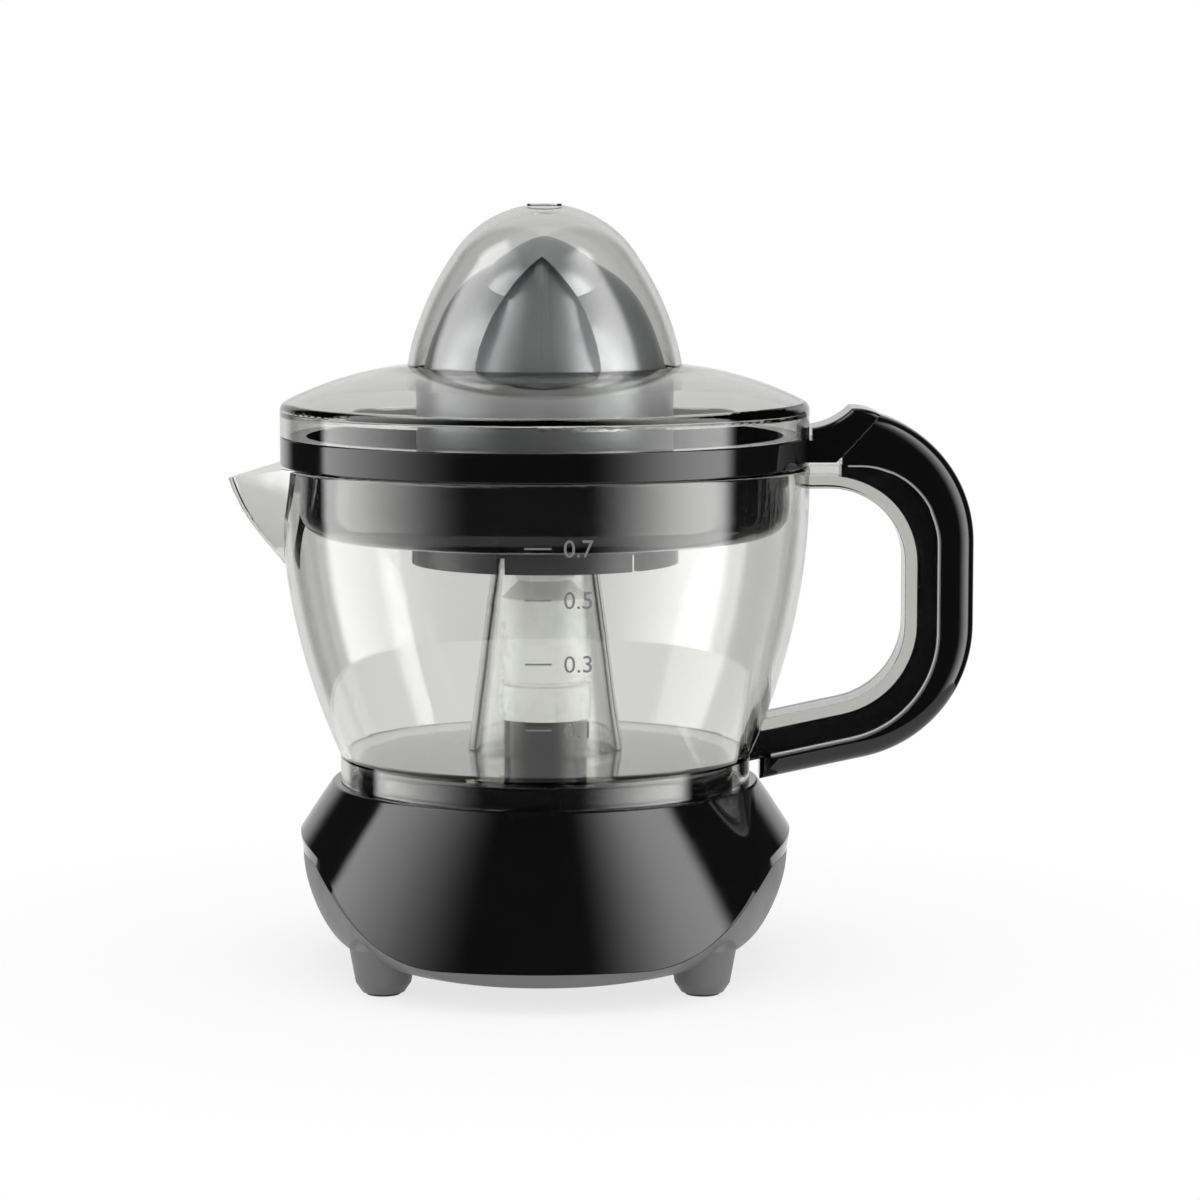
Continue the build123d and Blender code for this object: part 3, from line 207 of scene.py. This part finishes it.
# Materials: two tones, range of roughness, scale and depth of the grain, and a share of metal if it is mixed.
# Clear plastic has the depth of its waves instead, then the colour and density of its thickness
LOOKS = {
    "black_gloss": moulded(
        "black_gloss", (0.003, 0.003, 0.0033), (0.005, 0.005, 0.0055),
        (0.05, 0.1), 900, 1e-6,
    ),
    "grey_satin": moulded(
        "grey_satin", (0.15, 0.15, 0.15), (0.175, 0.175, 0.174),
        (0.42, 0.55), 2600, 2e-5,
    ),
    "foot_rubber": moulded(
        "foot_rubber", (0.05, 0.05, 0.05), (0.07, 0.07, 0.07),
        (0.6, 0.8), 1500, 4e-5,
    ),
    "gland_rubber": moulded(
        "gland_rubber", (0.012, 0.012, 0.012), (0.02, 0.02, 0.02),
        (0.55, 0.75), 1500, 4e-5,
    ),
    "steel": metal("steel", (0.5, 0.5, 0.51), (0.62, 0.62, 0.62), (0.22, 0.36), 1200, 1e-5),
    "dark_plastic": moulded(
        "dark_plastic", (0.02, 0.02, 0.022), (0.03, 0.03, 0.032),
        (0.3, 0.42), 1400, 1e-5,
    ),
    "gear_nylon": moulded("gear_nylon", (0.7, 0.69, 0.64), (0.78, 0.77, 0.73), (0.35, 0.5), 1400, 1e-5),
    "core_iron": metal("core_iron", (0.16, 0.16, 0.17), (0.24, 0.23, 0.22), (0.4, 0.6), 700, 3e-5),
    "copper": metal("copper", (0.5, 0.19, 0.08), (0.62, 0.27, 0.12), (0.25, 0.4), 2200, 6e-5),
    "bush_brass": metal("bush_brass", (0.52, 0.38, 0.17), (0.64, 0.49, 0.24), (0.3, 0.45), 1500, 1e-5),
    "white_plastic": moulded(
        "white_plastic", (0.76, 0.76, 0.75), (0.82, 0.82, 0.81),
        (0.22, 0.34), 1200, 5e-6,
    ),
    "silver_plastic": metal(
        "silver_plastic", (0.25, 0.25, 0.262), (0.3, 0.3, 0.312),
        (0.3, 0.4), 1800, 4e-6, 0.8,
    ),
    "clear_jug": clear(
        "clear_jug", (0.95, 0.952, 0.944), (0.966, 0.968, 0.96),
        (0.0, 0.03), 4e-6, (0.5, 0.51, 0.47), 66,
    ),
    "smoke_lid": clear(
        "smoke_lid", (0.92, 0.923, 0.915), (0.94, 0.943, 0.935),
        (0.0, 0.03), 4e-6, (0.5, 0.51, 0.48), 110,
    ),
}
for part in frame["record"]["subparts"]:
    mesh = nodes[part["node"]].data
    mesh.materials.clear()
    mesh.materials.append(LOOKS[part["material_slot"]])


# Level marks, laid on the jug's front

def jug_front(jug, x, z):
    """Point of the jug's outside in front of the axis."""
    hit = jug.ray_cast(Vector((x, MARK_RAY_Y, z)), Vector((0, 1, 0)))[0]
    return Vector((x, hit.y - MARK_PROUD, z))


def lay_on_jug(jug, name, points, faces):
    """Flat outline, drawn as x and z, laid on the jug as one piece."""
    mesh = bpy.data.meshes.new(name)
    mesh.from_pydata([jug_front(jug, x, z) for x, z in points], [], faces)
    piece = bpy.data.objects.new(name, mesh)
    bpy.context.scene.collection.objects.link(piece)
    mesh.materials.append(mark_look)
    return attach(piece, "jug")


def tick(jug, name, z):
    """Short level line."""
    points = []
    for i in range(TICK_STEPS + 1):
        x = TICK_X[0] + (TICK_X[1] - TICK_X[0]) * i / TICK_STEPS
        points += [(x, z - TICK_HEIGHT / 2), (x, z + TICK_HEIGHT / 2)]
    faces = [(2 * i, 2 * i + 2, 2 * i + 3, 2 * i + 1) for i in range(TICK_STEPS)]
    return lay_on_jug(jug, name, points, faces)


def number(jug, name, text, z):
    """Plain number beside a level line."""
    curve = bpy.data.curves.new(name + "_letters", "FONT")
    curve.body = text
    curve.size = NUMBER_HEIGHT / NUMBER_SHARE
    curve.resolution_u = NUMBER_ROUND
    letters = bpy.data.objects.new(name + "_letters", curve)
    flat = bpy.data.meshes.new_from_object(letters)
    points = [(NUMBER_X + v.co.x, z - NUMBER_HEIGHT / 2 + v.co.y) for v in flat.vertices]
    faces = [tuple(face.vertices) for face in flat.polygons]
    bpy.data.objects.remove(letters)
    return lay_on_jug(jug, name, points, faces)


mark_look = moulded("level_mark", (0.17, 0.17, 0.17), (0.22, 0.22, 0.22), (0.5, 0.6), 1800, 1e-6)
jug_tree = BVHTree.FromObject(nodes["jug"], bpy.context.evaluated_depsgraph_get())
for level, (height, text) in enumerate(LEVELS):
    tick(jug_tree, f"level_tick_{level}", height)
    number(jug_tree, f"level_number_{level}", text, height)


# Lip of the handle channel: a pale bead whose light colour is a painted highlight

def channel_lip_painted_highlight(jug, name, side):
    """Thin bead along the outer edge of the clear channel, on the front or the back, in pale opaque plastic
    that paints the highlight on the clear lip.
    """
    curve = bpy.data.curves.new(name, "CURVE")
    curve.dimensions = "3D"
    curve.bevel_depth = LIP_RADIUS
    curve.bevel_resolution = LIP_ROUND
    curve.use_fill_caps = True
    spline = curve.splines.new("POLY")
    spline.points.add(LIP_STEPS)
    for i, point in enumerate(spline.points):
        turn = radians(LIP_TURN[0] + (LIP_TURN[1] - LIP_TURN[0]) * i / LIP_STEPS)
        way = Vector((cos(turn), 0, sin(turn)))
        middle = Vector((LIP_CENTRE[0], side * LIP_Y, LIP_CENTRE[1]))
        hit = jug.ray_cast(middle + LIP_FAR * way, -way)[0]
        point.co = (*hit, 1)
    piece = bpy.data.objects.new(name, curve)
    bpy.context.scene.collection.objects.link(piece)
    curve.materials.append(lip_painted_highlight_look)
    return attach(piece, "jug")


# Pale opaque colour of the lip: a painted highlight standing in for the light caught on the clear rim
lip_painted_highlight_look = moulded("channel_lip_painted_highlight", (0.6, 0.61, 0.59), (0.7, 0.71, 0.69), (0.15, 0.25), 1200, 2e-6)
channel_lip_painted_highlight(jug_tree, "channel_lip_front", -1)
channel_lip_painted_highlight(jug_tree, "channel_lip_back", 1)


# Return spring, which on the juicer shortens as the spindle goes down; here a copy of the CAD coil on the
# base

def make_spring(name):
    """Coil that stands for the rigid CAD spring, copied onto the base with a mesh of its own."""
    piece = bpy.data.objects.new(name, nodes["return_spring"].data.copy())
    bpy.context.scene.collection.objects.link(piece)
    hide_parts("return_spring")
    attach(piece, "base")
    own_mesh(piece)


make_spring("return_spring_coil")


# Floor: white to the camera, with a faint shadow under the object

def make_floor():
    """Round white table top that is seen as white and keeps a soft shadow."""
    mesh = bpy.data.meshes.new("floor")
    turns = [2 * pi * i / FLOOR_SIDES for i in range(FLOOR_SIDES)]
    rim = [(FLOOR_RADIUS * cos(turn), FLOOR_RADIUS * sin(turn), 0) for turn in turns]
    mesh.from_pydata(rim, [], [tuple(range(FLOOR_SIDES))])
    floor = bpy.data.objects.new("floor", mesh)
    bpy.context.scene.collection.objects.link(floor)
    floor.location.z = FLOOR_Z
    material = bpy.data.materials.new("floor_white")
    material.use_nodes = True
    tree = material.node_tree
    tree.nodes.clear()
    output = tree.nodes.new("ShaderNodeOutputMaterial")
    paper = tree.nodes.new("ShaderNodeBsdfDiffuse")
    paper.inputs["Color"].default_value = (FLOOR_PAPER, FLOOR_PAPER, FLOOR_PAPER, 1)
    glow = tree.nodes.new("ShaderNodeEmission")
    glow.inputs["Strength"].default_value = 1.0
    path = tree.nodes.new("ShaderNodeLightPath")
    seen = tree.nodes.new("ShaderNodeMath")
    seen.operation = "MAXIMUM"
    tree.links.new(path.outputs["Is Camera Ray"], seen.inputs[0])
    tree.links.new(path.outputs["Is Transmission Ray"], seen.inputs[1])
    also = tree.nodes.new("ShaderNodeMath")
    also.operation = "MAXIMUM"
    tree.links.new(seen.outputs[0], also.inputs[0])
    tree.links.new(path.outputs["Is Glossy Ray"], also.inputs[1])
    # Near the object a part of the paper shows through, so its shadow stays
    place = tree.nodes.new("ShaderNodeTexCoord")
    far = tree.nodes.new("ShaderNodeVectorMath")
    far.operation = "LENGTH"
    tree.links.new(place.outputs["Object"], far.inputs[0])
    white = tree.nodes.new("ShaderNodeMapRange")
    white.inputs["From Min"].default_value = FLOOR_NEAR
    white.inputs["From Max"].default_value = FLOOR_FAR
    white.inputs["To Min"].default_value = FLOOR_NEAR_WHITE
    white.inputs["To Max"].default_value = 1.0
    tree.links.new(far.outputs["Value"], white.inputs["Value"])
    amount = tree.nodes.new("ShaderNodeMath")
    amount.operation = "MULTIPLY"
    tree.links.new(also.outputs[0], amount.inputs[0])
    tree.links.new(white.outputs["Result"], amount.inputs[1])
    mix = tree.nodes.new("ShaderNodeMixShader")
    tree.links.new(amount.outputs[0], mix.inputs["Fac"])
    tree.links.new(paper.outputs["BSDF"], mix.inputs[1])
    tree.links.new(glow.outputs["Emission"], mix.inputs[2])
    tree.links.new(mix.outputs["Shader"], output.inputs["Surface"])
    mesh.materials.append(material)


make_floor()


# Studio light: two tall panels with a dark gap on the camera's side

def make_world():
    """Studio light that a gloss sees as panels, a dull surface as soft light and the camera as white."""
    world = bpy.data.worlds.new("studio")
    bpy.context.scene.world = world
    world.use_nodes = True
    tree = world.node_tree
    tree.nodes.clear()
    output = tree.nodes.new("ShaderNodeOutputWorld")
    back = tree.nodes.new("ShaderNodeBackground")
    back.inputs["Color"].default_value = (1, 1, 1, 1)
    tree.links.new(back.outputs["Background"], output.inputs["Surface"])

    def math(kind, first, second=None):
        node = tree.nodes.new("ShaderNodeMath")
        node.operation = kind
        for socket, value in zip(node.inputs, (first, second)):
            if isinstance(value, (int, float)):
                socket.default_value = value
            elif value is not None:
                tree.links.new(value, socket)
        return node.outputs[0]

    def ramp(value, low, high, start, end):
        node = tree.nodes.new("ShaderNodeMapRange")
        node.interpolation_type = "SMOOTHSTEP"
        node.inputs["From Min"].default_value = low
        node.inputs["From Max"].default_value = high
        node.inputs["To Min"].default_value = start
        node.inputs["To Max"].default_value = end
        tree.links.new(value, node.inputs["Value"])
        return node.outputs["Result"]

    place = tree.nodes.new("ShaderNodeTexCoord")
    axes = tree.nodes.new("ShaderNodeSeparateXYZ")
    tree.links.new(place.outputs["Generated"], axes.inputs[0])
    rightward = math("ARCTAN2", axes.outputs["X"], math("MULTIPLY", axes.outputs["Y"], -1.0))
    leftward = math("MULTIPLY", rightward, -1.0)
    rise = math("ARCSINE", axes.outputs["Z"])
    below = ramp(rise, radians(PANEL_HIGH - PANEL_TOP_EDGE), radians(PANEL_HIGH), 1.0, 0.0)

    def panel(turn, start, full, fading, end, low, strength):
        grow = ramp(turn, radians(start), radians(full), 0.0, strength)
        stop = ramp(turn, radians(fading), radians(end), 1.0, 0.0)
        above = ramp(rise, radians(low), radians(low + PANEL_FOOT_EDGE), 0.0, 1.0)
        return math("MULTIPLY", math("MULTIPLY", grow, stop), math("MULTIPLY", above, below))

    panels = math("ADD", panel(leftward, *LEFT_PANEL), panel(rightward, *RIGHT_PANEL))
    turn = math("ABSOLUTE", rightward)
    back_full = radians(BACK_START + BACK_EDGE)
    behind = ramp(turn, radians(BACK_START), back_full, ROOM_STRENGTH, BACK_STRENGTH)
    gloss = math("ADD", panels, behind)

    # A ray's story: straight to the backdrop, off a gloss, or off a dull surface
    path = tree.nodes.new("ShaderNodeLightPath")
    dull = math("MINIMUM", path.outputs["Diffuse Depth"], 1.0)
    shiny = math("MINIMUM", path.outputs["Glossy Depth"], 1.0)
    shiny = math("MAXIMUM", shiny, path.outputs["Is Glossy Ray"])
    shiny = math("MULTIPLY", shiny, math("SUBTRACT", 1.0, dull))
    through = path.outputs["Is Transmission Ray"]
    straight = math("MULTIPLY", through, math("SUBTRACT", 1.0, math("MAXIMUM", dull, shiny)))
    camera = path.outputs["Is Camera Ray"]
    soft = ramp(axes.outputs["Z"], SOFT_FROM, 1.0, SOFT_LOW, SOFT_HIGH)
    inside = math("MULTIPLY", through, INSIDE_STRENGTH - 1.0)
    soft = math("MULTIPLY", soft, math("ADD", 1.0, inside))
    other = math("SUBTRACT", 1.0, math("MAXIMUM", math("MAXIMUM", camera, straight), shiny))
    lit = math("ADD", math("MULTIPLY", gloss, shiny), math("MULTIPLY", soft, other))
    total = math("ADD", lit, math("MAXIMUM", camera, straight))
    tree.links.new(total, back.inputs["Strength"])


make_world()

# Camera at the photograph's angle
camera_data = bpy.data.cameras.new("camera")
camera_data.lens = CAMERA_LENS
camera_data.sensor_width = CAMERA_SENSOR
camera = bpy.data.objects.new("camera", camera_data)
camera.location = CAMERA_AT
camera.rotation_euler = (radians(90 - CAMERA_TILT), 0, 0)
bpy.context.scene.collection.objects.link(camera)
bpy.context.scene.camera = camera
bpy.context.scene.view_settings.view_transform = "Standard"
